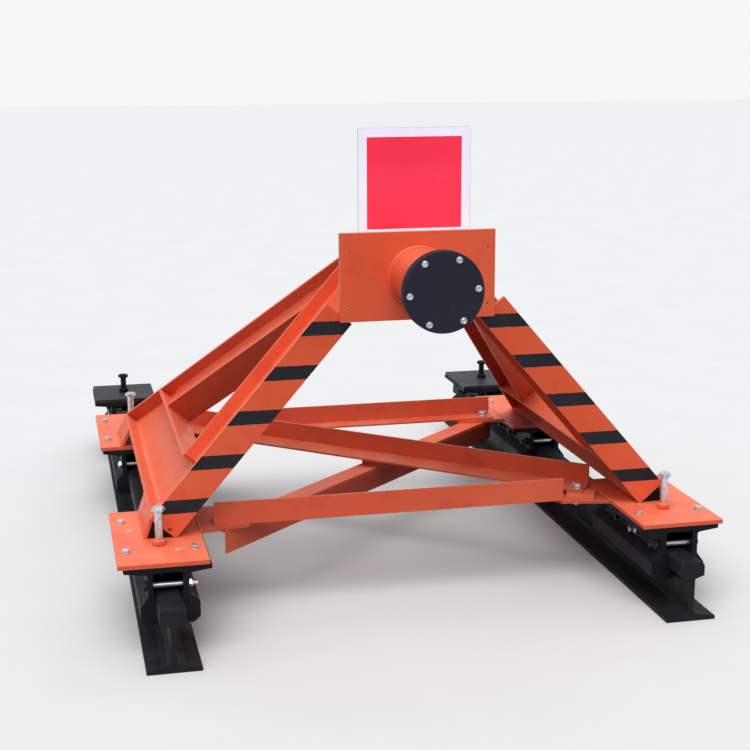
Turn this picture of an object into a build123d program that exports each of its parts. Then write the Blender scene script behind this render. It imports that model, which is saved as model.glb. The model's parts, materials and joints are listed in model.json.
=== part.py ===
# Railway buffer stop on two short rails, in millimetres, +Z up, the buffer facing -Y.
# The origin is midway between the rails and midway along them, at the underside of the rail feet.
from build123d import *
import math
import os

os.makedirs("parts", exist_ok=True)

# Track
gauge = 1415.0
rail_height = 176.0
rail_foot = 150.0
rail_head = 73.0
rail_web = 16.5
rail_front = (-120.0, -96.0)
rail_end = 2304.0
rail_centre = (gauge + rail_head) / 2
slide_gap = 0.3

# Lengths along the track are measured from the front edge of the front base plates.
front_edge = -1092.0

# Base plates and the clamps below them; pairs of values are the left one and the right one
front_plate_x = 754.0
rear_plate_x = 746.0
plate_width = 250.0
plate_length = 480.0
plate_thick = 12.0
plate_top = 267.0
plate_under = plate_top - plate_thick
front_plate_y = (0.0, 0.0)
rear_plate_y = (1231.0, 1191.0)
rod_size = 16.0
rod_height = 195.0
rod_spots = (32.0, 182.0, 298.0, 448.0)
rod_end_out = 70.0
rod_end_in = 82.0
rod_nut = 12.0
rod_nut_flats = 26.0
cheek_wall_in = 41.0
cheek_wall_out = 56.0
cheek_tip = 120.0
saddle_under = plate_under - 16.0

# Jack bolts that hold the plates down to the rail heads
jack_size = 22.0
jack_flats = 34.0
jack_top = 378.0
jack_head = 14.0
jack_nut = 16.0
nut_flats = 34.0
front_jack_y = (158.0, 146.0)
rear_jack_y = (1585.0, 1548.0)

# Leaning side frames of I-section, 180 deep and 94 wide
lean = math.radians(40.8)
beam_depth = 180.0
beam_width = 94.0
beam_web = 6.5
beam_flange = 10.7
beam_root = 12.0
frame_foot_x = 764.0
chord_low = 40.6
flange_low = 38.0
chord_high = chord_low + beam_depth
leg_front = 205.0
leg_rear = leg_front + beam_depth
leg_top = 1020.0
leg_flange_top = 825.0
burnt_at = (-720.0, 292.0)
slope = 0.909
outer_line = 567.7
lower_line = 324.3

# Crash plate, buffer and board
crash_half = 226.0
crash_low = 869.0
crash_high = 1120.0
crash_front = 189.0
crash_thick = 16.0
hole_x = 204.0
hole_z = 81.0
hole_size = 6.0
buffer_height = 990.0
tube_size = 168.0
tube_wall = 10.0
pad_size = 222.0
pad_front = -88.5
pad_thick = 31.0
board_width = 324.0
board_tall = 306.0
board_middle = -6.0
board_low = 1101.0
board_front = 212.0
board_thick = 4.0
strap_thick = 6.0

# Braces of steel angle
angle_leg = 70.0
angle_thick = 6.0
over_wide = 98.0
over_tall = 66.0
packing_thick = 12.0
gusset_thick = 10.0

# Spare clamps behind the stop, fixed to the rails
brake_width = 235.0
brake_y = (1958.0, 1852.0)
brake_length = (258.0, 290.0)
brake_rod_inset = 80.0
brake_jack_top = 340.0


def save(name, *solids):
    shape = solids[0] if len(solids) == 1 else Compound(children=list(solids))
    export_step(shape, "parts/" + name + ".step")


def block(x0, x1, y0, y1, z0, z1):
    centre = Pos((x0 + x1) / 2, (y0 + y1) / 2 + front_edge, (z0 + z1) / 2)
    return centre * Box(x1 - x0, y1 - y0, z1 - z0)


def outline(points, rounds=()):
    face = make_face(Polyline(*points, close=True))
    for a, b, radius in rounds:
        corner = face.vertices().sort_by_distance((a, b, 0))[0]
        face = fillet(corner, radius)
    return face


def along_track(face, y0, y1):
    upright = Plane.XZ * face
    return Pos(0, y0 + front_edge, 0) * extrude(upright, amount=y1 - y0, dir=(0, 1, 0))


def upright_rod(x, y, z0, z1, size):
    return Pos(x, y + front_edge, (z0 + z1) / 2) * Cylinder(size / 2, z1 - z0)


def hex_block(flats, height):
    # a hexagon with its top and bottom corners turned off at a shallow angle
    across = 2 * flats / math.sqrt(3)
    turned = Cylinder(across / 2, height)
    turned = chamfer(turned.edges(), 0.10 * flats, 0.10 * flats * math.tan(math.radians(60)))
    block_shape = extrude(RegularPolygon(flats / math.sqrt(3), 6), amount=height)
    return block_shape & (Pos(0, 0, height / 2) * turned)


def hexagon(x, y, z0, z1, flats, turn=0.0):
    return Pos(x, y + front_edge, z0) * Rot(0, 0, turn) * hex_block(flats, z1 - z0)


def flat_plate(points, z0, z1):
    return Pos(0, front_edge, z0) * extrude(outline(points), amount=z1 - z0, dir=(0, 0, 1))


def to_left(shape):
    return mirror(shape, about=Plane.YZ)


# Rails: flat-bottomed, with the web and head of a 60 kg/m section
def rail_outline():
    half = [
        (rail_foot / 2, 0), (rail_foot / 2, 12), (33, 17), (rail_web / 2, 26),
        (rail_web / 2, 127.6), (rail_head / 2, 137.0), (rail_head / 2, rail_height),
    ]
    other = [(-x, z) for x, z in reversed(half)]
    rounds = []
    for side in (-1, 1):
        rounds.append((side * rail_head / 2, rail_height, 12))
        rounds.append((side * rail_head / 2, 137.0, 2))
        rounds.append((side * rail_web / 2, 127.6, 7))
        rounds.append((side * rail_web / 2, 26, 16))
        rounds.append((side * rail_foot / 2, 12, 3))
        rounds.append((side * rail_foot / 2, 0, 2))
    return outline(half + other, rounds)


save("rail_left", Pos(-rail_centre, 0, 0) * along_track(rail_outline(), rail_front[0], rail_end))
save("rail_right", Pos(rail_centre, 0, 0) * along_track(rail_outline(), rail_front[1], rail_end))


# Clamp: a saddle under the plate with two cheeks that hook below the rail head, a small gap off it.
# It is drawn for the right-hand rail, where +X is outwards; the inner cheek bulges more.
def clamp_outline():
    head_side = rail_head / 2 + slide_gap
    under = 137.0 - slide_gap
    points = []
    rounds = []
    for side, bulge, shoulder, belly in ((1, 78, 172, 142), (-1, 85, 175, 152)):
        half = [
            (cheek_tip, plate_under), (cheek_tip, plate_under - 12),
            (cheek_wall_out, plate_under - 20), (cheek_wall_out, shoulder), (bulge, belly), (bulge, 108),
            (66, 92), (16, 98), (16, under - (head_side - 16) / 3), (head_side, under),
            (head_side, 176), (cheek_wall_in, 186), (cheek_wall_in, saddle_under),
        ]
        half = [(side * x, z) for x, z in half]
        points += half if side == 1 else half[::-1]
        rounds.append((side * cheek_wall_out, plate_under - 20, 8))
        rounds.append((side * cheek_wall_out, shoulder, 10))
        rounds.append((side * bulge, belly, 8))
        rounds.append((side * bulge, 108, 6))
        rounds.append((side * cheek_wall_in, saddle_under, 5))
        rounds.append((side * cheek_tip, plate_under - 12, 3))
    return outline(points, rounds)


def on_rail(side, shape):
    # the same piece on the right-hand rail, or mirrored on the left-hand one
    placed = Pos(rail_centre, 0, 0) * shape
    return placed if side == 1 else to_left(placed)


def clamp_body(side, y, length, rods, jack_x, jack_y):
    body = along_track(clamp_outline(), y, y + length)
    for rod_y in rods:
        bore = Pos(0, rod_y + front_edge, rod_height) * Rot(0, 90, 0) * Cylinder(rod_size / 2, 2 * cheek_tip)
        body = body - bore
    body = body - upright_rod(jack_x - rail_centre, jack_y, saddle_under - 1, plate_under + 1, jack_size + 1)
    return on_rail(side, body)


def clamp_rod(side, y):
    shaft = Pos(0, 0, (rod_end_out - rod_end_in) / 2) * Cylinder(rod_size / 2, rod_end_out + rod_end_in)
    nut = Rot(0, 0, 30) * hex_block(rod_nut_flats, rod_nut)
    outer = Pos(0, 0, cheek_wall_out) * nut
    inner = Pos(0, 0, -cheek_wall_out - rod_nut) * nut
    rod = shaft + outer + inner
    return on_rail(side, Pos(0, y + front_edge, rod_height) * Rot(0, 90, 0) * rod)


def jack_bolt(x, y, top, flats=jack_flats, size=jack_size):
    shaft = upright_rod(x, y, rail_height + slide_gap, top - 1, size)
    head = hexagon(x, y, top - jack_head, top, flats)
    return shaft + head


corners = (
    ("front_left", -1, front_plate_x, front_plate_y[0], front_plate_x, front_jack_y[0]),
    ("front_right", 1, front_plate_x, front_plate_y[1], front_plate_x, front_jack_y[1]),
    ("rear_left", -1, rear_plate_x, rear_plate_y[0], rail_centre, rear_jack_y[0]),
    ("rear_right", 1, rear_plate_x, rear_plate_y[1], rail_centre, rear_jack_y[1]),
)
clamp_rods = {-1: [], 1: []}
jack_bolts = []
jack_nuts = []
for name, side, plate_x, y, jack_x, jack_y in corners:
    x = side * plate_x
    plate = block(x - plate_width / 2, x + plate_width / 2, y, y + plate_length, plate_under, plate_top)
    plate = fillet(plate.edges().filter_by(Axis.Z), 2)
    plate = plate - upright_rod(side * jack_x, jack_y, plate_under - 1, plate_top + 1, jack_size + 1)
    save("base_plate_" + name, plate)
    rods = [y + spot for spot in rod_spots]
    save("clamp_body_" + name, clamp_body(side, y, plate_length, rods, jack_x, jack_y))
    clamp_rods[side] += [clamp_rod(side, rod_y) for rod_y in rods]
    jack_bolts.append(jack_bolt(side * jack_x, jack_y, jack_top))
    nut = hexagon(side * jack_x, jack_y, plate_top, plate_top + jack_nut, nut_flats, 12)
    bore = upright_rod(side * jack_x, jack_y, plate_top - 1, plate_top + jack_nut + 1, jack_size)
    jack_nuts.append(nut - bore)
save("clamp_rods_left", *clamp_rods[-1])
save("clamp_rods_right", *clamp_rods[1])
save("jack_bolts", *jack_bolts)
save("jack_nuts", *jack_nuts)

# Side frames: each lies in a plane that leans in towards the middle of the track.
# A point in that plane is given as its place along the track, then its place up the lean.
lean_plane = Plane(
    origin=(frame_foot_x, 0, plate_top),
    x_dir=(0, 1, 0),
    z_dir=(math.cos(lean), 0, math.sin(lean)),
)


def slab(points, half):
    shifted = [(y + front_edge, t) for y, t in points]
    flat = extrude(outline(shifted), amount=half, both=True)
    return lean_plane * flat


def outer_t(y, inset=0.0):
    return outer_line - inset - slope * (y - 870)


def outer_y(t, inset=0.0):
    return 870 + (outer_line - inset - t) / slope


def lower_t(y, inset=0.0):
    return lower_line + inset - slope * (y - 870)


def lower_y(t, inset=0.0):
    return 870 + (lower_line + inset - t) / slope


def lean_point(y, t, n):
    # along the track, up the lean, and out of the plane of the frame
    return lean_plane.origin + Vector(0, y + front_edge, 0) + lean_plane.y_dir * t + lean_plane.z_dir * n


def root(start, end, away, side):
    # a cove in the corner between the web and a flange
    # away is the direction off the flange in the plane of the frame
    off_web = lean_plane.z_dir * side
    off_flange = lean_plane.x_dir * away[0] + lean_plane.y_dir * away[1]
    a = lean_point(*start, side * thin)
    b = lean_point(*end, side * thin)
    run = b - a
    if run.cross(off_web).dot(off_flange) < 0:
        a, run = b, a - b
    corner = Rectangle(beam_root, beam_root, align=(Align.MIN, Align.MIN))
    corner -= Pos(beam_root, beam_root) * Circle(beam_root)
    plane = Plane(origin=a, x_dir=off_web, z_dir=run)
    return plane * extrude(corner, amount=run.length, dir=(0, 0, 1))


def roots(shape, start, end, away, clip=None):
    for side in (-1, 1):
        cove = root(start, end, away, side)
        shape += cove & clip if clip else cove
    return shape


wide = beam_width / 2
thin = beam_web / 2
skin = beam_flange / math.cos(math.atan(slope))

inside_front = leg_front + beam_flange
inside_rear = leg_rear - beam_flange
inner_low = chord_low + beam_flange
inner_high = chord_high - beam_flange

# the front flange is cut level at the base plate
front_leg = slab(
    [(leg_front, flange_low), (inside_front, flange_low), (inside_front, leg_flange_top),
     (leg_front, leg_flange_top)], wide)
front_leg = front_leg - block(0, 900, leg_front - 10, leg_front + 20, 0, plate_top)
front_leg += slab(
    [(inside_rear, chord_high), (leg_rear, chord_high), (leg_rear, leg_top), (inside_rear, leg_top)], wide)
front_leg += slab(
    [(inside_front, inner_low), (leg_rear, inner_low), (leg_rear, chord_high), (inside_rear, chord_high),
     (inside_rear, leg_top), (leg_front, leg_top), (leg_front, leg_flange_top),
     (inside_front, leg_flange_top)], thin)
front_leg = roots(front_leg, (inside_front, inner_low), (inside_front, leg_flange_top), (1, 0))
front_leg = roots(front_leg, (inside_rear, chord_high), (inside_rear, leg_top), (-1, 0))
save("front_leg_right", front_leg)
burnt_hole = Pos(burnt_at[0], leg_front + front_edge, burnt_at[1]) * Rot(90, 0, 0) * Cylinder(6.5, 30)
save("front_leg_left", to_left(front_leg) - burnt_hole)

rear_leg = slab(
    [(leg_rear, outer_t(leg_rear)), (outer_y(chord_low), chord_low), (outer_y(chord_low, skin), chord_low),
     (leg_rear, outer_t(leg_rear, skin))], wide)
rear_leg += slab(
    [(leg_rear, lower_t(leg_rear)), (lower_y(chord_high), chord_high),
     (lower_y(chord_high, skin), chord_high), (leg_rear, lower_t(leg_rear, skin))], wide)
rear_leg += slab(
    [(leg_rear, lower_t(leg_rear, skin)), (lower_y(chord_high, skin), chord_high),
     (outer_y(chord_high, skin), chord_high), (leg_rear, outer_t(leg_rear, skin))], thin)
across = math.hypot(1, slope)
web_zone = slab([(leg_rear, chord_high), (1200, chord_high), (1200, leg_top), (leg_rear, leg_top)], wide)
reach = 20
rear_leg = roots(
    rear_leg, (leg_rear - reach, outer_t(leg_rear - reach, skin)),
    (outer_y(chord_high - reach, skin), chord_high - reach), (-slope / across, -1 / across), web_zone)
rear_leg = roots(
    rear_leg, (leg_rear - reach, lower_t(leg_rear - reach, skin)),
    (lower_y(chord_high - reach, skin), chord_high - reach), (slope / across, 1 / across), web_zone)
save("rear_leg_right", rear_leg)
save("rear_leg_left", to_left(rear_leg))

chord = slab(
    [(inside_front, chord_low), (outer_y(chord_low, skin), chord_low),
     (outer_y(inner_low, skin), inner_low), (inside_front, inner_low)], wide)
chord += slab(
    [(leg_rear, inner_high), (outer_y(inner_high, skin), inner_high),
     (outer_y(chord_high, skin), chord_high), (leg_rear, chord_high)], wide)
chord += slab(
    [(leg_rear, inner_low), (outer_y(inner_low, skin), inner_low),
     (outer_y(inner_high, skin), inner_high), (leg_rear, inner_high)], thin)
low_end = outer_y(inner_low + beam_root, skin)
high_end = outer_y(inner_high, skin)
chord = roots(chord, (inside_front + beam_root, inner_low), (low_end, inner_low), (0, 1))
chord = roots(chord, (leg_rear, inner_high), (high_end, inner_high), (0, -1))
save("chord_right", chord)
save("chord_left", to_left(chord))

# Foot plates close the wedge between the leaning chord and the base plates
front_foot = [(795, plate_top), (773.1, 328.4), (765.0, 321.4), (784.4, plate_top)]
rear_foot = [(803, plate_top), (773.1, 328.4), (765.0, 321.4), (791.5, plate_top)]
foot_plates = [
    along_track(outline(front_foot), inside_front, 466),
    along_track(outline(rear_foot), 1231, 1440),
]
save("foot_plates_right", *foot_plates)
save("foot_plates_left", *[to_left(shape) for shape in foot_plates])

# Small plates close the wedge below the front flange of each leg
wedge = [(703.5, plate_top), (782, plate_top), (764, 319.5)]
wedge_plate = along_track(outline(wedge), inside_front, inside_front + 5)
save("wedge_plates", wedge_plate, to_left(wedge_plate))

# Gussets welded to the inner edges of the base plates carry the braces
front_edge_x = front_plate_x - plate_width / 2
rear_edge_x = rear_plate_x - plate_width / 2
front_gusset = flat_plate(
    [(front_edge_x, 252), (483, 284), (430, 360), (430, 430), (500, 480), (front_edge_x, 480)],
    plate_top - gusset_thick, plate_top)
rear_gusset = flat_plate(
    [(rear_edge_x, 1298), (476, 1303), (400, 1330), (400, 1420), (480, 1480), (rear_edge_x, 1480)],
    plate_top - gusset_thick, plate_top)
save("gussets_front", front_gusset, to_left(front_gusset))
save("gussets_rear", rear_gusset, to_left(rear_gusset))


# Braces
def angle_bar(length, hang=False):
    # runs along +X from the origin with its upright leg on the line and its flat leg towards -Y
    flat = Pos(length / 2, -angle_leg / 2, angle_thick / 2) * Box(length, angle_leg, angle_thick)
    upright = Pos(length / 2, -angle_thick / 2, angle_leg / 2) * Box(length, angle_thick, angle_leg)
    bar = flat + upright
    return Rot(180, 0, 0) * bar if hang else bar


front_tie = Pos(485, 284 + front_edge, plate_top) * Rot(0, 0, 180) * angle_bar(1070)
save("brace_front", front_tie)
rear_tie = Pos(-397, 1380 + front_edge, plate_top) * angle_bar(980)
save("brace_rear", rear_tie)

# The upper diagonal is an unequal angle raised on packing plates, its front end cut at a slant
over_turn = math.degrees(math.atan(0.9))
over_length = math.hypot(1169, 0.9 * 1169)
over_start = Pos(-560, 388 + 0.9 * 1169 + front_edge, plate_top) * Rot(0, 0, -over_turn)
over_flat = outline([(0, 0), (over_length, 0), (over_length + 14, -over_wide), (0, -over_wide)])
over = extrude(over_flat, amount=angle_thick, dir=(0, 0, 1))
over += Pos(over_length / 2, -angle_thick / 2, over_tall / 2) * Box(over_length, angle_thick, over_tall)
save("brace_over", over_start * Pos(0, 0, packing_thick) * over)

under_turn = math.degrees(math.atan(0.948))
under_length = math.hypot(1131, 0.948 * 1131)
under = Rot(0, 0, under_turn) * angle_bar(under_length, hang=True)
save("brace_under", Pos(-552, 265 + front_edge, plate_top - gusset_thick) * under)

middle_pack = extrude(Rectangle(70, 70), amount=gusset_thick + packing_thick)
front_pack = [(498, 290), (578, 264), (612, 338), (530, 372)]
rear_pack = over_start * Pos(50, -over_wide / 2, 0) * extrude(Rectangle(100, 90), amount=packing_thick)
save(
    "brace_packing",
    Pos(30, 865 + front_edge, plate_top - gusset_thick) * Rot(0, 0, -over_turn) * middle_pack,
    flat_plate(front_pack, plate_top, plate_top + packing_thick),
    rear_pack)

# Crash plate with four corner holes, and the pieces behind it that join the legs
crash = block(-crash_half, crash_half, crash_front, crash_front + crash_thick, crash_low, crash_high)
crash_middle = 988.0
for sx in (-1, 1):
    for sz in (-1, 1):
        spot = Pos(sx * hole_x, crash_front + 8 + front_edge, crash_middle + sz * hole_z)
        crash = crash - spot * Rot(90, 0, 0) * Cylinder(hole_size / 2, 40)
save("crash_plate", crash)


def inner_x(z):
    # inner tips of the leg flanges at a height
    t = (z - plate_top + wide * math.sin(lean)) / math.cos(lean)
    return frame_foot_x - t * math.sin(lean) - wide * math.cos(lean)


tie_points = [(-inner_x(880), 880), (inner_x(880), 880), (inner_x(1000), 1000), (-inner_x(1000), 1000)]
save("head_tie_rear", along_track(outline(tie_points), inside_rear, leg_rear))
shelf = block(-inner_x(960), inner_x(960), leg_front, inside_rear, 950, 960)
save("head_tie_shelf", shelf)

# Buffer: a tube welded to the crash plate with a bolted pad
tube_length = crash_front - pad_front - pad_thick
turn = Pos(0, crash_front - tube_length / 2 + front_edge, buffer_height) * Rot(90, 0, 0)
tube = Cylinder(tube_size / 2, tube_length) - Cylinder(tube_size / 2 - tube_wall, tube_length + 2)
save("buffer_tube", turn * tube)
pad = Cylinder(pad_size / 2, pad_thick)
pad = chamfer(pad.edges(), 1.5)
save("buffer_pad", Pos(0, pad_front + pad_thick / 2 + front_edge, buffer_height) * Rot(90, 0, 0) * pad)

# Board behind the crash plate
board_side = board_middle - board_width / 2
board = block(
    board_side, board_side + board_width, board_front, board_front + board_thick,
    board_low, board_low + board_tall)
board = fillet(board.edges().filter_by(Axis.Y), 6)
board_hole = Pos(board_middle, board_front + front_edge, board_low + board_tall - 12)
board = board - board_hole * Rot(90, 0, 0) * Cylinder(3.5, 30)
save("sign_board", board)
spacer = block(-130, 130, crash_front + crash_thick, board_front, board_low, crash_high - 4)
save("board_spacer", spacer)
straps = []
board_back = board_front + board_thick
for x in (board_middle - 95, board_middle + 95):
    straps.append(block(x - 20, x + 20, board_back, board_back + strap_thick, board_low, board_low + 275))
save("board_straps", *straps)

# Spare clamps on the rails behind the stop
brake_rods = []
brake_bolts = []
spare_clamps = (("left", -1, brake_y[0], brake_length[0]), ("right", 1, brake_y[1], brake_length[1]))
for name, side, y, length in spare_clamps:
    x = side * rail_centre
    middle = y + length / 2
    plate = block(x - brake_width / 2, x + brake_width / 2, y, y + length, plate_under, plate_top)
    plate = fillet(plate.edges().filter_by(Axis.Z), 4)
    plate = plate - upright_rod(x, middle, plate_under - 1, plate_top + 1, jack_size + 1)
    save("brake_plate_" + name, plate)
    rods = (y + brake_rod_inset, y + length - brake_rod_inset)
    save("brake_body_" + name, clamp_body(side, y, length, rods, rail_centre, middle))
    brake_rods += [clamp_rod(side, rod_y) for rod_y in rods]
    collar = hexagon(x, middle, plate_top, plate_top + jack_nut, jack_flats, 20)
    brake_bolts.append(jack_bolt(x, middle, brake_jack_top) + collar)
save("brake_rods", *brake_rods)
save("brake_bolts", *brake_bolts)
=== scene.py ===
import json
import math
import bpy
from mathutils import Matrix, Vector


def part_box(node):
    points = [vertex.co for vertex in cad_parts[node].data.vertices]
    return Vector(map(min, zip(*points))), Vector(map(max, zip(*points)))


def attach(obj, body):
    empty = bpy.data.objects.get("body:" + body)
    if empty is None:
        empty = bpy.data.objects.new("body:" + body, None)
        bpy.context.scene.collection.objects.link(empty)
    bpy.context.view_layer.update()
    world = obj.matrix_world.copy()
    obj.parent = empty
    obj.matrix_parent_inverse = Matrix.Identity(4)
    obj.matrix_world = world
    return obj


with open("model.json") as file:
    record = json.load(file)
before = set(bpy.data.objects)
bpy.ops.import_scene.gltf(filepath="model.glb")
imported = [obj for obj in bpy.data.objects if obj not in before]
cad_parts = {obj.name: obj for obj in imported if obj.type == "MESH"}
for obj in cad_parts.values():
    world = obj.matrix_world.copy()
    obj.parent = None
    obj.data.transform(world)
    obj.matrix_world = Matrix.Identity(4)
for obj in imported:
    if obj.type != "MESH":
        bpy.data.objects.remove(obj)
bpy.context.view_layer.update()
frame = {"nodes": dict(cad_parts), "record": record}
mm = 0.001
nodes = frame["nodes"]
smoothAngle = 35
print("stage: frame loaded,", len(nodes), "nodes")


# small helpers for modelling

def deselectAll():
    if bpy.context.object and bpy.context.object.mode != "OBJECT":
        bpy.ops.object.mode_set(mode="OBJECT")
    bpy.ops.object.select_all(action="DESELECT")


def onlyThis(obj):
    deselectAll()
    obj.select_set(True)
    bpy.context.view_layer.objects.active = obj


def pickFaces(obj, test):
    # leaves the piece in edit mode with the faces that pass the test selected
    onlyThis(obj)
    bpy.ops.object.mode_set(mode="EDIT")
    bpy.ops.mesh.select_mode(type="FACE")
    bpy.ops.mesh.select_all(action="DESELECT")
    bpy.ops.object.mode_set(mode="OBJECT")
    for face in obj.data.polygons:
        face.select = bool(test(face))
    bpy.ops.object.mode_set(mode="EDIT")


def closeEdit():
    bpy.ops.object.mode_set(mode="OBJECT")


def cylinder(name, sides, radius, low, high):
    deselectAll()
    middle = (0, 0, (low + high) / 2)
    bpy.ops.mesh.primitive_cylinder_add(vertices=sides, radius=radius, depth=high - low, location=middle)
    obj = bpy.context.object
    obj.name = name
    applyPlace(obj)
    return obj


def applyPlace(obj):
    onlyThis(obj)
    bpy.ops.object.transform_apply(location=True, rotation=True, scale=True)


def addModifier(obj, kind, **settings):
    onlyThis(obj)
    modifier = obj.modifiers.new(kind.title(), kind)
    for key, value in settings.items():
        setattr(modifier, key, value)
    bpy.ops.object.modifier_apply(modifier=modifier.name)


def bevelEdges(obj, width, segments=2, angle=40):
    limit = math.radians(angle)
    addModifier(obj, "BEVEL", width=width, segments=segments, limit_method="ANGLE", angle_limit=limit)


def copyTo(obj, place):
    # a copy with its own mesh, moved by a matrix
    copy = obj.copy()
    copy.data = obj.data.copy()
    copy.data.transform(place)
    bpy.context.scene.collection.objects.link(copy)
    return copy


def joinPieces(name, pieces):
    deselectAll()
    for piece in pieces:
        piece.select_set(True)
    bpy.context.view_layer.objects.active = pieces[0]
    if len(pieces) > 1:
        bpy.ops.object.join()
    obj = bpy.context.object
    obj.name = name
    obj.data.name = name
    return obj


def finishPiece(obj, material):
    # smooths a piece of the sliding frame and gives it its material and body
    onlyThis(obj)
    if material:
        obj.data.materials.clear()
        obj.data.materials.append(material)
    bpy.ops.object.shade_smooth_by_angle(angle=math.radians(smoothAngle))
    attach(obj, "frame")


def dropPattern(*patterns):
    for pattern in patterns:
        bpy.data.objects.remove(pattern)


# shader expressions

mixSockets = {"first": 6, "second": 7, "colour": 2}
edgeTurn = (0.02, 0.22)


class Value:
    # a node socket that can be added, multiplied and compared
    def __init__(self, shader, socket):
        self.shader = shader
        self.socket = socket

    def maths(self, operation, other=None, swapped=False):
        values = [self, other] if other is not None else [self]
        if swapped:
            values.reverse()
        return self.shader.node("ShaderNodeMath", {"operation": operation}, dict(enumerate(values)))

    def __add__(self, other):
        return self.maths("ADD", other)

    def __sub__(self, other):
        return self.maths("SUBTRACT", other)

    def __rsub__(self, other):
        return self.maths("SUBTRACT", other, True)

    def __mul__(self, other):
        return self.maths("MULTIPLY", other)

    def __truediv__(self, other):
        return self.maths("DIVIDE", other)

    def __gt__(self, other):
        return self.maths("GREATER_THAN", other)

    def __lt__(self, other):
        return self.maths("LESS_THAN", other)

    def fract(self):
        return self.maths("FRACT")

    def absolute(self):
        return self.maths("ABSOLUTE")

    def larger(self, other):
        return self.maths("MAXIMUM", other)


class Finish:
    def __init__(self, name):
        self.material = bpy.data.materials.new(name)
        self.material.use_nodes = True
        self.tree = self.material.node_tree
        self.tree.nodes.clear()
        self.place = self.node("ShaderNodeTexCoord", {}, {}, "Object")
        self.surface = self.tree.nodes.new("ShaderNodeBsdfPrincipled")
        output = self.tree.nodes.new("ShaderNodeOutputMaterial")
        self.tree.links.new(self.surface.outputs[0], output.inputs["Surface"])

    def feed(self, socket, value):
        if isinstance(value, Value):
            self.tree.links.new(value.socket, socket)
        elif isinstance(value, tuple) and len(value) == 3 and socket.type == "RGBA":
            socket.default_value = (*value, 1)
        else:
            socket.default_value = value

    def node(self, kind, settings, inputs, out=0):
        made = self.tree.nodes.new(kind)
        for key, value in settings.items():
            setattr(made, key, value)
        for key, value in inputs.items():
            self.feed(made.inputs[key], value)
        return Value(self, made.outputs[out])

    def set(self, **inputs):
        for key, value in inputs.items():
            self.feed(self.surface.inputs[key.replace("_", " ")], value)

    # the patterns that the finishes share

    def noise(self, scale, detail, roughness=0.55, stretch=None):
        place = self.place
        if stretch:
            place = self.node("ShaderNodeMapping", {}, {"Vector": place, "Scale": stretch})
        inputs = {"Vector": place, "Scale": scale, "Detail": detail, "Roughness": roughness}
        return self.node("ShaderNodeTexNoise", {}, inputs)

    def step(self, value, low, high, first=0.0, last=1.0):
        inputs = {0: value, 1: low, 2: high, 3: first, 4: last}
        return self.node("ShaderNodeMapRange", {"interpolation_type": "SMOOTHSTEP"}, inputs)

    def mix(self, factor, first, second):
        inputs = {0: factor, mixSockets["first"]: first, mixSockets["second"]: second}
        return self.node("ShaderNodeMix", {"data_type": "RGBA"}, inputs, mixSockets["colour"])

    def split(self, vector, axis):
        return self.node("ShaderNodeSeparateXYZ", {}, {0: vector}, axis)

    def facing(self, axis):
        return self.split(self.node("ShaderNodeNewGeometry", {}, {}, "Normal"), axis)

    def apart(self, spot):
        # how far the surface is from a spot
        inputs = {0: self.place, 1: spot}
        return self.node("ShaderNodeVectorMath", {"operation": "DISTANCE"}, inputs, "Value")

    def rounded(self, radius):
        return self.node("ShaderNodeBevel", {"samples": 4}, {"Radius": radius})

    def edges(self, radius):
        # bright where the surface turns over an edge within the radius
        inputs = {0: self.rounded(radius), 1: self.node("ShaderNodeNewGeometry", {}, {}, "Normal")}
        same = self.node("ShaderNodeVectorMath", {"operation": "DOT_PRODUCT"}, inputs, "Value")
        return self.step(1 - same, *edgeTurn)

    def bump(self, height, strength, distance, rounding=0.0):
        inputs = {"Height": height, "Strength": strength, "Distance": distance}
        if rounding:
            inputs["Normal"] = self.rounded(rounding)
        self.set(Normal=self.node("ShaderNodeBump", {}, inputs))


# finishes: a noise is scale, detail, roughness and stretch, a range is where a step begins and ends, and a
# bump is strength, depth and rounding

axisX, axisY, axisZ = 0, 1, 2

# grimeAndShade: in the orange paint this colour is painted shade; on the red and pale film it is real grime
orange = {
    "paint": (0.80, 0.106, 0.038), "faded": (0.82, 0.132, 0.056), "deep": (0.62, 0.064, 0.026),
    "dust": (0.86, 0.30, 0.165), "grimeAndShade": (0.12, 0.022, 0.023), "rust": (0.13, 0.045, 0.02),
    "steel": (0.35, 0.30, 0.27), "black": (0.009, 0.009, 0.013), "blackDust": (0.026, 0.025, 0.032),
}
orangeNoise = {
    "broad": (2.3, 5), "cloud": (9, 6, 0.6), "fine": (160, 3, 0.6), "drift": (6, 8, 0.65),
    "streak": (26, 5, 0.6, (1.0, 1.0, 0.12)), "ragged": (12, 5, 0.6), "broken": (75, 6, 0.7),
    "scratch": (14, 8, 0.75), "scratched": (3.1, 2), "wavy": (60, 3),
}
orangeRange = {
    "faded": (0.35, 0.65), "deep": (0.5, 0.72), "up": (0.25, 0.95), "level": (0.80, 0.97), "drift": (0.32, 0.7),
    "streak": (0.56, 0.8), "lowShadeHeight": (0.238, 0.256), "lowShadeAlong": (-0.9, 0.2), "under": (-0.7, -0.25),
    "cloud": (0.3, 0.7), "rearFootShade": (0.10, 0.21), "broken": (0.52, 0.62), "scratch": (0.695, 0.72),
    "scratched": (0.5, 0.6), "flangeEdgeHighlight": (0.5, 0.6), "blackDust": (0.4, 0.75), "steel": (0.5, 0.7),
}
orangeShare = {
    "deep": 0.45, "slope": 0.5, "dust": 0.5, "streak": 0.12, "lowShade": 0.78, "under": 0.4, "rearFootShade": 0.55,
    "ragged": 0.10, "scratch": 0.8, "edge": 0.45, "flangeEdgeHighlight": 0.55, "blackDust": 0.5, "worn": 0.85,
}
orangeShine = {
    "rough": (0.34, 0.5), "dusty": 0.22, "worn": 0.3, "plain": 0.45, "striped": 0.25,
    "cloudBump": 0.35, "fineBump": 0.2, "wornBump": 0.6,
}
orangeForm = {"edge": 3.5 * mm, "bump": (0.35, 0.6 * mm, 1.2 * mm), "rearFootShadeSpot": (0.690, 0.165, 0.267)}
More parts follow.
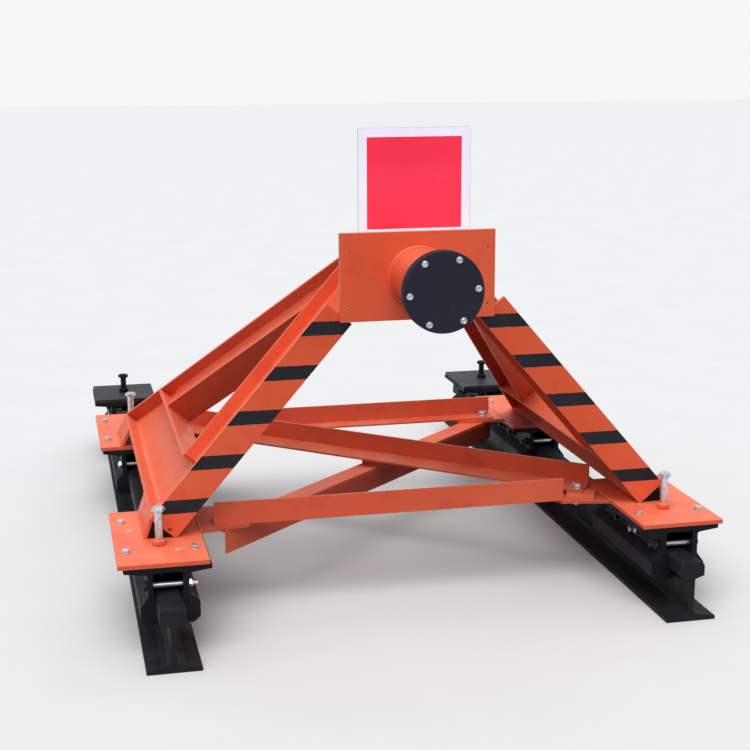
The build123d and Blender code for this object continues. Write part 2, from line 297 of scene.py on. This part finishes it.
bands = {
    "low": 338 * mm, "pitch": 123.5 * mm, "height": 40 * mm, "front": -886.5 * mm, "back": -874 * mm,
    "wavy": 4 * mm, "count": 4.6, "facing": -0.7,
}


def orangePaint(name, striped=False, braceShade=0.0):
    f = Finish(name)
    broad = f.noise(*orangeNoise["broad"])
    cloud = f.noise(*orangeNoise["cloud"])
    fine = f.noise(*orangeNoise["fine"])
    colour = f.mix(f.step(broad, *orangeRange["faded"]), orange["paint"], orange["faded"])
    colour = f.mix(f.step(cloud, *orangeRange["deep"]) * orangeShare["deep"], colour, orange["deep"])
    # dust lies on what faces up, evenly on the slopes and in drifts on level tops
    up = f.step(f.facing(axisZ), *orangeRange["up"])
    level = f.step(f.facing(axisZ), *orangeRange["level"])
    drift = f.step(f.noise(*orangeNoise["drift"]), *orangeRange["drift"]) * level
    drift = drift + (1 - level) * orangeShare["slope"]
    colour = f.mix(up * drift * orangeShare["dust"], colour, orange["dust"])
    # runs of dirt on upright faces
    streak = f.step(f.noise(*orangeNoise["streak"]), *orangeRange["streak"])
    colour = f.mix(streak * (1 - up) * orangeShare["streak"], colour, orange["deep"])
    # painted shade on what hangs below the plates, darker towards the rear
    lowShade = f.step(f.split(f.place, axisZ), *orangeRange["lowShadeHeight"], 1.0, 0.0)
    lowShade = lowShade * f.step(f.split(f.place, axisY), *orangeRange["lowShadeAlong"])
    colour = f.mix(lowShade * orangeShare["lowShade"], colour, orange["grimeAndShade"])
    # painted shade on faces that look down, and a cloudy painted shade on the inner braces
    under = f.step(f.facing(axisZ), *orangeRange["under"], 1.0, 0.0)
    under = under * (0.0 if striped else orangeShare["under"])
    paintedShade = under.larger(f.step(cloud, *orangeRange["cloud"], braceShade * 0.85, braceShade * 1.15))
    colour = f.mix(paintedShade, colour, orange["grimeAndShade"])
    # painted shade round the rear right foot
    apart = f.apart(orangeForm["rearFootShadeSpot"]) + f.noise(*orangeNoise["ragged"]) * orangeShare["ragged"]
    rearFootShade = f.step(apart, *orangeRange["rearFootShade"], 1.0, 0.0)
    colour = f.mix(rearFootShade * orangeShare["rearFootShade"], colour, orange["grimeAndShade"])
    # chipped edges, dark rust with a little bare steel
    edge = f.edges(orangeForm["edge"])
    broken = f.step(f.noise(*orangeNoise["broken"]), *orangeRange["broken"])
    scratch = f.step(f.noise(*orangeNoise["scratch"]), *orangeRange["scratch"])
    scratch = scratch * f.step(f.noise(*orangeNoise["scratched"]), *orangeRange["scratched"])
    worn = (edge * broken).larger(scratch * orangeShare["scratch"])
    colour = f.mix(edge * (1 - broken) * orangeShare["edge"], colour, orange["dust"])
    rough = f.step(cloud, *orangeRange["cloud"], *orangeShine["rough"]) + up * drift * orangeShine["dusty"]
    if striped:
        wavy = (f.noise(*orangeNoise["wavy"]) - 0.5) * bands["wavy"]
        turn = (f.split(f.place, axisZ) + wavy - bands["low"]) / bands["pitch"]
        inBand = turn.fract() < bands["height"] / bands["pitch"]
        inRange = (turn > 0.0) * (turn < bands["count"])
        frontFace = (f.split(f.place, axisY) < bands["front"]) * (f.facing(axisY) < bands["facing"])
        mask = inBand * inRange * frontFace
        # painted highlight: the upper edge of the flange is painted lighter in the dust colour
        flangeEdgeHighlight = f.step(f.facing(axisZ), *orangeRange["flangeEdgeHighlight"])
        flangeEdgeHighlight = flangeEdgeHighlight * (f.split(f.place, axisY) < bands["back"])
        colour = f.mix(flangeEdgeHighlight * orangeShare["flangeEdgeHighlight"], colour, orange["dust"])
        blackShare = f.step(cloud, *orangeRange["blackDust"]) * orangeShare["blackDust"]
        colour = f.mix(mask, colour, f.mix(blackShare, orange["black"], orange["blackDust"]))
    bare = f.mix(f.step(fine, *orangeRange["steel"]), orange["rust"], orange["steel"])
    colour = f.mix(worn * orangeShare["worn"], colour, bare)
    rough = rough + worn * orangeShine["worn"]
    shine = orangeShine["striped"] if striped else orangeShine["plain"]
    f.set(Base_Color=colour, Roughness=rough, Metallic=0.0, Specular_IOR_Level=shine)
    height = cloud * orangeShine["cloudBump"] + fine * orangeShine["fineBump"] - worn * orangeShine["wornBump"]
    f.bump(height, *orangeForm["bump"])
    return f.material


dark = {
    "cloud": (11, 6, 0.62), "fine": (190, 3, 0.6), "drift": (8, 8, 0.68), "broken": (80, 6, 0.7),
    "rusty": (17, 8, 0.75), "rust": (0.11, 0.045, 0.022), "edge": 3 * mm, "cloudShare": 0.6, "edgeShare": 0.25,
    "smoother": 0.06, "rougher": 0.12, "dusty": 0.2, "bump": (0.4, 0.8 * mm, 1.2 * mm),
}


def darkPaint(name, base, dust, dusty, rustAmount=0.3, rough=0.45, shine=0.22):
    f = Finish(name)
    cloud = f.noise(*dark["cloud"])
    fine = f.noise(*dark["fine"])
    up = f.step(f.facing(axisZ), 0.2, 0.95)
    drift = f.step(f.noise(*dark["drift"]), 0.3, 0.72)
    colour = f.mix(f.step(cloud, 0.42, 0.75) * dark["cloudShare"], base, dust)
    colour = f.mix(up * drift * dusty, colour, dust)
    edge = f.edges(dark["edge"])
    broken = f.step(f.noise(*dark["broken"]), 0.46, 0.6)
    rusty = f.step(f.noise(*dark["rusty"]), 0.62, 0.7) * rustAmount
    colour = f.mix(edge * dark["edgeShare"], colour, dust)
    colour = f.mix((edge * broken * rustAmount).larger(rusty), colour, dark["rust"])
    level = f.step(cloud, 0.3, 0.7, rough - dark["smoother"], rough + dark["rougher"])
    level = level + up * drift * dark["dusty"]
    f.set(Base_Color=colour, Roughness=level, Metallic=0.0, Specular_IOR_Level=shine)
    f.bump(cloud * 0.5 + fine * 0.25, *dark["bump"])
    return f.material


zinc = {
    "cloud": (60, 5, 0.6), "fine": (420, 2, 0.5), "spots": (110, 6, 0.7), "bright": (0.72, 0.74, 0.78),
    "dull": (0.50, 0.51, 0.54), "rust": (0.22, 0.13, 0.08), "spotShare": 0.5, "metal": 0.9, "spotMetal": 0.6,
    "rough": (0.28, 0.46), "black": (0.014, 0.014, 0.016), "blackRough": 0.25,
    "bump": (0.25, 0.3 * mm, 0.5 * mm),
}
rods = {
    "centre": 744 * mm, "wall": 57 * mm, "reach": 45 * mm,
    "fresh": ((-0.674, -1.060, 0.195), (0.674, -0.910, 0.195), (-0.808, 0.171, 0.195), (-0.808, 0.946, 0.195)),
}


def zincPlate(name, paintedEnds=False):
    f = Finish(name)
    cloud = f.noise(*zinc["cloud"])
    fine = f.noise(*zinc["fine"])
    colour = f.mix(f.step(cloud, 0.4, 0.7), zinc["bright"], zinc["dull"])
    spots = f.step(f.noise(*zinc["spots"]), 0.66, 0.74)
    colour = f.mix(spots * zinc["spotShare"], colour, zinc["rust"])
    metal = zinc["metal"] - spots * zinc["spotMetal"]
    rough = f.step(cloud, 0.3, 0.7, *zinc["rough"])
    if paintedEnds:
        # black paint has gone over most nuts, a few were changed later
        fromRail = (f.split(f.place, axisX).absolute() - rods["centre"]).absolute()
        outside = fromRail > rods["wall"]
        fresh = 0.0
        for spot in rods["fresh"]:
            fresh = (f.apart(spot) < rods["reach"]) + fresh
        painted = outside * (fresh < 0.5)
        colour = f.mix(painted, colour, zinc["black"])
        metal = metal * (1 - painted)
        rough = rough + painted * zinc["blackRough"]
    f.set(Base_Color=colour, Metallic=metal, Roughness=rough)
    f.bump(fine * 0.4 + cloud * 0.2, *zinc["bump"])
    return f.material


rubber = {
    "cloud": (14, 6, 0.6), "fine": (300, 3, 0.6), "scuff": (30, 8, 0.7, (1.0, 1.0, 0.35)),
    "dark": (0.008, 0.008, 0.019), "light": (0.015, 0.015, 0.030), "scuffed": (0.07, 0.07, 0.10),
    "worn": (0.08, 0.08, 0.11), "edge": 2.5 * mm, "scuffShare": 0.2, "edgeShare": 0.3,
    "rough": (0.52, 0.7), "shine": 0.3, "bump": (0.35, 0.5 * mm, 1.0 * mm),
}


def rubberPad(name):
    f = Finish(name)
    cloud = f.noise(*rubber["cloud"])
    fine = f.noise(*rubber["fine"])
    scuff = f.step(f.noise(*rubber["scuff"]), 0.58, 0.72)
    colour = f.mix(f.step(cloud, 0.35, 0.75), rubber["dark"], rubber["light"])
    colour = f.mix(scuff * rubber["scuffShare"], colour, rubber["scuffed"])
    colour = f.mix(f.edges(rubber["edge"]) * rubber["edgeShare"], colour, rubber["worn"])
    rough = f.step(cloud, 0.3, 0.7, *rubber["rough"])
    f.set(Base_Color=colour, Roughness=rough, Specular_IOR_Level=rubber["shine"])
    f.bump(cloud * 0.3 + fine * 0.3, *rubber["bump"])
    return f.material


sheetMetal = {
    "cloud": (20, 4), "brushed": (60, 4, 0.6, (1.0, 1.0, 14.0)), "light": (0.60, 0.60, 0.62),
    "dark": (0.48, 0.48, 0.50), "metal": 0.85, "rough": (0.35, 0.5), "bump": (0.15, 0.2 * mm, 0.4 * mm),
}


def boardSheet(name):
    f = Finish(name)
    cloud = f.noise(*sheetMetal["cloud"])
    brushed = f.noise(*sheetMetal["brushed"])
    colour = f.mix(f.step(brushed, 0.35, 0.7), sheetMetal["light"], sheetMetal["dark"])
    rough = f.step(cloud, 0.3, 0.7, *sheetMetal["rough"])
    f.set(Base_Color=colour, Metallic=sheetMetal["metal"], Roughness=rough)
    f.bump(brushed * 0.3, *sheetMetal["bump"])
    return f.material


cellFilm = {
    "cells": 260.0, "random": 0.15, "line": 0.08, "cloud": (7, 6, 0.6), "dirty": (22, 8, 0.7),
    "grimeAndShade": (0.35, 0.25, 0.22), "cloudShare": 0.4, "lineShare": 0.12, "grimeShare": 0.12,
    "rough": (0.30, 0.42), "coat": 0.25, "paintedGlow": 0.28, "bump": (0.1, 0.1 * mm),
}


def reflectiveFilm(name, colour, shade):
    f = Finish(name)
    # tiny honeycomb cells under the film
    inputs = {"Vector": f.place, "Scale": cellFilm["cells"], "Randomness": cellFilm["random"]}
    cells = f.node("ShaderNodeTexVoronoi", {"feature": "DISTANCE_TO_EDGE"}, inputs, "Distance")
    line = f.step(cells, 0.0, cellFilm["line"])
    cloud = f.noise(*cellFilm["cloud"])
    grimeAndShade = f.step(f.noise(*cellFilm["dirty"]), 0.55, 0.8)
    tone = f.mix(f.step(cloud, 0.35, 0.7) * cellFilm["cloudShare"], colour, shade)
    tone = f.mix((1 - line) * cellFilm["lineShare"], tone, shade)
    tone = f.mix(grimeAndShade * cellFilm["grimeShare"], tone, cellFilm["grimeAndShade"])
    rough = f.step(cloud, 0.3, 0.7, *cellFilm["rough"])
    f.set(Base_Color=tone, Roughness=rough, Coat_Weight=cellFilm["coat"])
    # painted glow: the film's colour is emitted, standing in for the light the film returns towards the viewer
    f.set(Emission_Color=tone, Emission_Strength=cellFilm["paintedGlow"])
    f.bump(line * 0.2, *cellFilm["bump"])
    return f.material


# base, dust, share of dust, share of rust, roughness, shine
darkPaints = {
    "black": ((0.005, 0.005, 0.008), (0.020, 0.019, 0.024), 0.4, 0.10, 0.5, 0.15),
    "rail": ((0.006, 0.006, 0.008), (0.022, 0.019, 0.020), 0.5, 0.2, 0.5),
    "grey": ((0.017, 0.017, 0.020), (0.055, 0.053, 0.057), 0.6, 0.22, 0.4),
    "plug": ((0.62, 0.27, 0.20), (0.70, 0.42, 0.36), 0.6, 0.15),
}
# colour and its darker shade
films = {
    "red": ((0.93, 0.020, 0.065), (0.80, 0.012, 0.045)),
    "pale": ((0.88, 0.84, 1.0), (0.74, 0.70, 0.86)),
}
orangeMaterial = orangePaint("orangePaint")
stripedMaterial = orangePaint("orangeStriped", striped=True)
# painted shade: the braces' paint is darkened where they lie in shade under the frame
shadedBraceMaterial = orangePaint("orangeBraceShaded", braceShade=0.24)
blackMaterial = darkPaint("blackPaint", *darkPaints["black"])
railMaterial = darkPaint("railCoat", *darkPaints["rail"])
greyMaterial = darkPaint("greyPaint", *darkPaints["grey"])
zincMaterial = zincPlate("zincPlate")
rodMaterial = zincPlate("rodZinc", paintedEnds=True)
plugMaterial = darkPaint("plugPaint", *darkPaints["plug"])
padMaterial = rubberPad("padRubber")
boardMaterial = boardSheet("boardSheet")
redMaterial = reflectiveFilm("redFilm", *films["red"])
paleMaterial = reflectiveFilm("paleFilm", *films["pale"])

slotMaterials = {
    "orange_paint": orangeMaterial, "black_paint": blackMaterial, "grey_paint": greyMaterial,
    "rail_steel": railMaterial, "zinc": zincMaterial, "pad_rubber": padMaterial, "red_board": boardMaterial,
}
nodeSlots = {part["node"]: part["material_slot"] for part in frame["record"]["subparts"]}
for name, node in nodes.items():
    node.data.materials.clear()
    node.data.materials.append(slotMaterials[nodeSlots[name]])
    if "rods" in name:
        node.data.materials[0] = rodMaterial
for name in ("front_leg_left", "front_leg_right"):
    nodes[name].data.materials[0] = stripedMaterial
# the braces and front gussets get the paint with painted shade
for name in ("brace_over", "brace_rear", "gussets_front"):
    nodes[name].data.materials[0] = shadedBraceMaterial
print("stage: finishes made")


# fasteners

frontEdge = -1092 * mm
plateTop = 267
hexForm = {"top": 0.07, "crown": 0.10, "bevel": 0.02, "segments": 2, "sharp": 20}
washerForm = {"thick": 2.5 * mm, "bevel": 0.2, "segments": 2}
turned = {"first": 0.4, "each": 0.83}


def trackSpot(x, y, z):
    # a place given from the front edge of the front base plates
    return Vector((x * mm, y * mm + frontEdge, z * mm))


def hexHead(name, flats, height):
    # a forged head: hexagon with its top corners turned off
    obj = cylinder(name, 6, flats / math.sqrt(3), 0, height)
    pickFaces(obj, lambda face: face.normal.z > 0.9)
    bpy.ops.mesh.inset(thickness=flats * hexForm["top"])
    bpy.ops.transform.translate(value=(0, 0, height * hexForm["crown"]))
    closeEdit()
    bevelEdges(obj, flats * hexForm["bevel"], hexForm["segments"], hexForm["sharp"])
    return obj


def ring(name, radius, low, high, sides=28):
    obj = cylinder(name, sides, radius, low, high)
    bevelEdges(obj, (high - low) * washerForm["bevel"], washerForm["segments"])
    return obj


def boltStack(name, flats, head, washer):
    # head over its washer, standing on z = 0
    thick = washerForm["thick"]
    top = hexHead(name + "Head", flats, head)
    top.data.transform(Matrix.Translation((0, 0, thick)))
    return joinPieces(name, [ring(name + "Washer", washer, 0, thick), top])


def nutStack(name, flats, depth, size, tail):
    # nut and the end of the bolt, hanging from z = 0
    nut = hexHead(name + "Nut", flats, depth)
    nut.data.transform(Matrix.Rotation(math.pi, 4, "X"))
    end = ring(name + "Tail", size / 2, -depth - tail, -depth / 2, 20)
    return joinPieces(name, [nut, end])


def scatter(name, pattern, places, material):
    # one piece from copies of a pattern, each with its own turn about its axis
    copies = []
    for number, place in enumerate(places):
        turn = Matrix.Rotation(turned["first"] + number * turned["each"], 4, "Z")
        copies.append(copyTo(pattern, place @ turn))
    finishPiece(joinPieces(name, copies), material)


plateBolt = {
    "flats": 21.5 * mm, "head": 7.5 * mm, "washer": 13 * mm, "across": 95 * mm,
    "along": (108 * mm, 372 * mm), "absent": (("front_right", 1), ("rear_right", 0)),
}
pattern = boltStack("plateBoltPattern", plateBolt["flats"], plateBolt["head"], plateBolt["washer"])
places = []
for corner in ("front_left", "front_right", "rear_left", "rear_right"):
    low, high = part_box("base_plate_" + corner)
    for hand in (-1, 1):
        for number, along in enumerate(plateBolt["along"]):
            if hand * low.x < 0 and (corner, number) in plateBolt["absent"]:
                continue
            spot = Vector(((low.x + high.x) / 2 + hand * plateBolt["across"], low.y + along, high.z))
            places.append(Matrix.Translation(spot))
scatter("plateBolts", pattern, places, zincMaterial)
dropPattern(pattern)

plugs = {"radius": 14 * mm, "height": 1.6 * mm, "at": ((-829, 292), (-705, 105))}
pattern = ring("plugPattern", plugs["radius"], 0, plugs["height"])
places = [Matrix.Translation(trackSpot(x, y, plateTop)) for x, y in plugs["at"]]
scatter("platePlugs", pattern, places, plugMaterial)
dropPattern(pattern)

# bolts at the ends of the braces: across, along, top of the joint, and its underside where there is a nut

braceHead = {"flats": 30 * mm, "head": 12.5 * mm, "washer": 18.5 * mm}
braceNut = {"flats": 30 * mm, "depth": 16 * mm, "size": 20 * mm, "tail": 9 * mm}
braceJoints = [
    (552, 345, 285, 257), (-570, 1384, 285, 257),
    (552, 1352, 273, 257), (-470, 1352, 273, 257), (-440, 1352, 273, 257),
    (440, 318, 273, None), (-540, 318, 273, 257),
    (-515, 345, 267, 251),
]
topPattern = boltStack("braceBoltPattern", **braceHead)
lowPattern = nutStack("braceNutPattern", **braceNut)
topPlaces = [Matrix.Translation(trackSpot(x, y, top)) for x, y, top, low in braceJoints]
lowPlaces = [Matrix.Translation(trackSpot(x, y, low)) for x, y, top, low in braceJoints if low]
scatter("braceBolts", topPattern, topPlaces, zincMaterial)
scatter("braceNuts", lowPattern, lowPlaces, zincMaterial)
dropPattern(topPattern, lowPattern)

# bolts in the face of the pad

padBolt = {
    "circle": 94.6 * mm, "radius": 8.2 * mm, "head": 6.5 * mm, "dome": 0.34, "segments": 4, "rim": 2.652 * mm,
    "deep": 3.5 * mm, "washer": 9.2 * mm, "thick": 1.2 * mm, "sides": 32, "count": 6, "start": 4.6,
}


def buttonHead(name):
    # a domed head with a round socket, on its washer
    head = cylinder(name + "Head", padBolt["sides"], padBolt["radius"], 0, padBolt["head"])
    bevelEdges(head, padBolt["radius"] * padBolt["dome"], padBolt["segments"])
    pickFaces(head, lambda face: face.normal.z > 0.99)
    bpy.ops.mesh.inset(thickness=padBolt["rim"])
    bpy.ops.transform.translate(value=(0, 0, -padBolt["deep"]))
    closeEdit()
    return joinPieces(name, [ring(name + "Washer", padBolt["washer"], 0, padBolt["thick"]), head])


padLow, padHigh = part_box("buffer_pad")
padMiddle = (padLow + padHigh) / 2
pattern = buttonHead("padBoltPattern")
places = []
for count in range(padBolt["count"]):
    angle = math.radians(padBolt["start"] + 360 * count / padBolt["count"])
    offset = Vector((math.cos(angle), 0, math.sin(angle))) * padBolt["circle"]
    spot = Vector((padMiddle.x, padLow.y, padMiddle.z)) + offset
    places.append(Matrix.Translation(spot) @ Matrix.Rotation(math.radians(90), 4, "X"))
scatter("padBolts", pattern, places, zincMaterial)
dropPattern(pattern)
print("stage: fasteners placed")

# the board's face: a pale film with a red square on it

film = {
    "thick": 0.6 * mm, "border": 24.5 * mm, "inset": 0.8 * mm, "off": 0.1 * mm, "hole": 3.5 * mm,
    "down": 12 * mm, "cut": 20 * mm, "sides": 24,
}
boardLow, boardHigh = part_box("sign_board")
boardMiddle = (boardLow + boardHigh) / 2
deselectAll()
bpy.ops.mesh.primitive_plane_add(size=1, rotation=(math.radians(90), 0, 0))
sheet = bpy.context.object
sheetSize = boardHigh - boardLow - Vector((1, 1, 1)) * 2 * film["inset"]
sheet.scale = (sheetSize.x, sheetSize.z, 1)
sheet.location = (boardMiddle.x, boardLow.y - film["off"], boardMiddle.z)
applyPlace(sheet)
sheet.data.materials.append(paleMaterial)
sheet.data.materials.append(redMaterial)
pickFaces(sheet, lambda face: True)
bpy.ops.mesh.inset(thickness=film["border"])
sheet.active_material_index = 1
bpy.ops.object.material_slot_assign()
closeEdit()
addModifier(sheet, "SOLIDIFY", thickness=film["thick"], offset=-1)
cutter = cylinder("filmHole", film["sides"], film["hole"], -film["cut"], film["cut"])
cutter.data.transform(Matrix.Rotation(math.radians(90), 4, "X"))
cutter.data.transform(Matrix.Translation((boardMiddle.x, boardLow.y, boardHigh.z - film["down"])))
addModifier(sheet, "BOOLEAN", operation="DIFFERENCE", object=cutter, solver="EXACT")
dropPattern(cutter)
sheet.name = "boardFilm"
finishPiece(sheet, None)
print("stage: board film placed")

# weld beads: half-buried ripples, laid in the plane of each leaning side frame; lengths here are in mm,
# and the rear leg's outer and lower edges are given by how far up the lean they are at the head

side = {
    "lean": math.radians(40.8), "foot": 764, "half": 47, "web": 3.25, "legRear": 385, "head": 870,
    "chordTop": 220.6, "slope": 0.909, "outer": 567.7, "lower": 324.3, "skin": 14.46,
}
bead = {"radius": 3.2 * mm, "pitch": 5 * mm, "waist": 0.84, "sides": 10}
tubeBead = {"radius": 6.5 * mm, "around": 96, "across": 10}


def weldBead(name, start, end):
    # a closed rippled tube from start to end
    length = (end - start).length
    count = max(2, round(length / bead["pitch"]))
    deselectAll()
    bpy.ops.mesh.primitive_cylinder_add(vertices=bead["sides"], radius=bead["radius"], depth=length)
    obj = bpy.context.object
    obj.name = name
    bpy.ops.object.mode_set(mode="EDIT")
    bpy.ops.mesh.select_all(action="DESELECT")
    bpy.ops.object.mode_set(mode="OBJECT")
    for edge in obj.data.edges:
        a, b = [obj.data.vertices[number].co for number in edge.vertices]
        edge.select = abs(a.z - b.z) > length * 0.9
    bpy.ops.object.mode_set(mode="EDIT")
    bpy.ops.mesh.select_mode(type="EDGE")
    bpy.ops.mesh.subdivide_edgering(number_cuts=2 * count - 1)
    bpy.ops.object.mode_set(mode="OBJECT")
    for vertex in obj.data.vertices:
        step = round((vertex.co.z / length + 0.5) * 2 * count)
        swell = bead["waist"] if step % 2 == 0 else 1.0
        vertex.co.x *= swell
        vertex.co.y *= swell
    aim = (end - start).to_track_quat("Z", "Y").to_matrix().to_4x4()
    obj.data.transform(Matrix.Translation((start + end) / 2) @ aim)
    return obj


def leanSpot(y, t, n, hand):
    # along the track, up the lean, out from the web; hand is 1 on the right and -1 on the left
    across = side["foot"] - t * math.sin(side["lean"]) + n * math.cos(side["lean"])
    height = plateTop + t * math.cos(side["lean"]) + n * math.sin(side["lean"])
    return trackSpot(hand * across, y, height)


def edgeY(edge, t, inset=0.0):
    # where an edge of the rear leg stands along the track, at t up the lean
    return side["head"] + (side[edge] + inset - t) / side["slope"]


def edgeT(edge, y, inset=0.0):
    # how far up the lean an edge of the rear leg is, at y along the track
    return side[edge] + inset - side["slope"] * (y - side["head"])


def frameWelds(hand):
    # pairs of ends in the plane of the frame
    half, web, skin, rear, top = (side[key] for key in ("half", "web", "skin", "legRear", "chordTop"))
    corners = [
        (rear, top), (rear, edgeT("outer", rear)), (rear, edgeT("lower", rear)),
        (edgeY("lower", top), top), (edgeY("outer", top), top),
    ]
    runs = [((y, t, -half), (y, t, half)) for y, t in corners]
    for n in (-web, web):
        runs.append(((edgeY("lower", top, skin), top, n), (edgeY("outer", top, -skin), top, n)))
        runs.append(((rear, edgeT("lower", rear, skin), n), (rear, edgeT("outer", rear, -skin), n)))
    beads = []
    for number, (start, end) in enumerate(runs):
        beads.append(weldBead("bead" + str(number), leanSpot(*start, hand), leanSpot(*end, hand)))
    return beads


# where the gussets meet the base plates and the foot plates meet their tops: across, from, to, height

footTop = 328
plateSeams = [
    (629, 254, 478, plateTop), (621, 1300, 1478, plateTop), (795, 218, 464, plateTop),
    (803, 1233, 1438, plateTop), (773, 218, 464, footTop), (773, 1233, 1438, footTop),
]


def plateWelds(hand):
    beads = []
    for number, (x, start, end, z) in enumerate(plateSeams):
        ends = [trackSpot(hand * x, y, z) for y in (start, end)]
        beads.append(weldBead("plateBead" + str(number), *ends))
    return beads


finishPiece(joinPieces("frameWelds.right", frameWelds(1)), orangeMaterial)
finishPiece(joinPieces("frameWelds.left", frameWelds(-1)), orangeMaterial)
finishPiece(joinPieces("plateWelds", plateWelds(1) + plateWelds(-1)), orangeMaterial)

tubeLow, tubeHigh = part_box("buffer_tube")
tubeMiddle = (tubeLow + tubeHigh) / 2
deselectAll()
bpy.ops.mesh.primitive_torus_add(
    major_radius=(tubeHigh.x - tubeLow.x) / 2, minor_radius=tubeBead["radius"],
    major_segments=tubeBead["around"], minor_segments=tubeBead["across"],
    location=(tubeMiddle.x, tubeHigh.y, tubeMiddle.z), rotation=(math.radians(90), 0, 0),
)
tubeWeld = bpy.context.object
tubeWeld.name = "tubeWeld"
applyPlace(tubeWeld)
finishPiece(tubeWeld, orangeMaterial)
print("stage: welds laid")

# floor, light and camera

floorForm = {
    "size": 60, "at": (0, 12, 0), "grain": (3, 6, 0.6), "dark": (0.66, 0.65, 0.645),
    "light": (0.72, 0.71, 0.70), "bounce": (0.17, 0.16, 0.16), "rough": 0.9,
}
deselectAll()
bpy.ops.mesh.primitive_plane_add(size=floorForm["size"], location=floorForm["at"])
floor = bpy.context.object
floor.name = "floor"
floorFinish = Finish("paleFloor")
grain = floorFinish.noise(*floorForm["grain"])
seen = floorFinish.node("ShaderNodeLightPath", {}, {}, "Is Camera Ray")
glossy = floorFinish.node("ShaderNodeLightPath", {}, {}, "Is Glossy Ray")
pale = floorFinish.mix(grain, floorForm["dark"], floorForm["light"])
# the floor is pale to look at, but throws as little light up as dark concrete
tone = floorFinish.mix(seen.larger(glossy), floorForm["bounce"], pale)
floorFinish.set(Base_Color=tone, Roughness=floorForm["rough"])
floor.data.materials.append(floorFinish.material)

sky = {
    "zenith": (0.90, 0.95, 1.0), "low": (0.36, 0.35, 0.37), "seen": (1.16, 1.155, 1.15), "strength": 0.80,
}
world = bpy.data.worlds.new("softSky")
bpy.context.scene.world = world
world.use_nodes = True
worldTree = world.node_tree
background = worldTree.nodes["Background"]
direction = worldTree.nodes.new("ShaderNodeTexCoord")
height = worldTree.nodes.new("ShaderNodeSeparateXYZ")
blend = worldTree.nodes.new("ShaderNodeMix")
seenBlend = worldTree.nodes.new("ShaderNodeMix")
blend.data_type = seenBlend.data_type = "RGBA"
first, second, colour = mixSockets["first"], mixSockets["second"], mixSockets["colour"]
blend.inputs[first].default_value = (*sky["low"], 1)
blend.inputs[second].default_value = (*sky["zenith"], 1)
seenBlend.inputs[second].default_value = (*sky["seen"], 1)
path = worldTree.nodes.new("ShaderNodeLightPath")
worldTree.links.new(direction.outputs["Generated"], height.inputs[0])
worldTree.links.new(height.outputs["Z"], blend.inputs[0])
worldTree.links.new(path.outputs["Is Camera Ray"], seenBlend.inputs[0])
worldTree.links.new(blend.outputs[colour], seenBlend.inputs[first])
worldTree.links.new(seenBlend.outputs[colour], background.inputs["Color"])
background.inputs["Strength"].default_value = sky["strength"]

# an overcast sky, brightest above and to the front left

suns = [
    {"name": "skySun", "from": (-0.50, -1.15, 2.0), "strength": 2.36, "angle": 55},
    {"name": "backSun", "from": (0.8, 1.6, 1.2), "strength": 0.35, "angle": 70},
]
for sun in suns:
    light = bpy.data.lights.new(sun["name"], "SUN")
    light.energy = sun["strength"]
    light.angle = math.radians(sun["angle"])
    holder = bpy.data.objects.new(sun["name"], light)
    bpy.context.scene.collection.objects.link(holder)
    holder.rotation_euler = Vector(sun["from"]).to_track_quat("Z", "Y").to_euler()

view = {
    "at": Vector((-1.0180, -4.8383, 1.6093)), "yaw": 0.22282, "pitch": 0.21840, "roll": -0.00313,
    "focal": 1451.83, "imageWidth": 750, "sensor": 36.0,
}
level = math.cos(view["pitch"])
forward = Vector((math.sin(view["yaw"]) * level, math.cos(view["yaw"]) * level, -math.sin(view["pitch"])))
right = Vector((math.cos(view["yaw"]), -math.sin(view["yaw"]), 0))
upward = right.cross(forward)
sideAxis = math.cos(view["roll"]) * right + math.sin(view["roll"]) * upward
topAxis = -math.sin(view["roll"]) * right + math.cos(view["roll"]) * upward
cameraData = bpy.data.cameras.new("photoCamera")
cameraData.sensor_width = view["sensor"]
cameraData.lens = view["focal"] * view["sensor"] / view["imageWidth"]
camera = bpy.data.objects.new("photoCamera", cameraData)
bpy.context.scene.collection.objects.link(camera)
aim = Matrix((sideAxis, topAxis, -forward)).transposed().to_4x4()
camera.matrix_world = Matrix.Translation(view["at"]) @ aim
bpy.context.scene.camera = camera
bpy.context.scene.view_settings.view_transform = "Standard"
print("stage: camera and light set")
